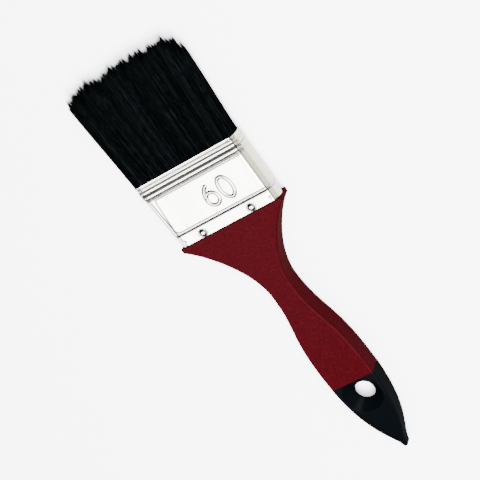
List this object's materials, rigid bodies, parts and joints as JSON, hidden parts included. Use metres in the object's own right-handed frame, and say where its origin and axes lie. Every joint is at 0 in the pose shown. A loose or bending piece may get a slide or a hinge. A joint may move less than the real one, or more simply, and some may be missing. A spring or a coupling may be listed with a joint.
{
  "type": "flat paintbrush",
  "caption": "Flat paintbrush with a lacquered beavertail handle, a beaded sheet-metal ferrule and a head of dark filaments that bends at the ferrule.",
  "frame": {"origin": "on the surface the brush lies on, under the middle of its bounding box", "axes": "+Y from the handle's end to the bristle tips, +Z out of the ferrule's front face, +X to the right seen from the front with the bristles up"},
  "size_m": [0.076, 0.249, 0.0121],
  "materials": {
    "handle_lacquer": "satin dark red lacquer, fine orange-peel",
    "end_coat": "glossy black dip lacquer",
    "ferrule_metal": "bright tin-plated sheet",
    "nail_metal": "bright steel",
    "resin": "amber epoxy",
    "plug_wood": "bare softwood",
    "filament": "black filament, faint sheen along the strands"
  },
  "bodies": {
    "brush_body": {"handle": "handle_lacquer", "handle_end_coat": "end_coat", "ferrule": "ferrule_metal", "front_left_nail": "nail_metal", "front_right_nail": "nail_metal", "rear_left_nail": "nail_metal", "rear_right_nail": "nail_metal", "epoxy_setting": "resin", "spacer_plug": "plug_wood", "front_bristle_roots": "filament", "rear_bristle_roots": "filament"},
    "bristle_head": {"front_bristles": "filament", "rear_bristles": "filament"}
  },
  "joints": [
    {"name": "bristle_flex", "type": "hinge", "parent": "brush_body", "child": "bristle_head", "pos_m": [0, 0.0682, 0.00605], "axis": [1, 0, 0], "range_deg": [-25, 25], "stiffness_Nm_per_rad": 0.75}
  ]
}
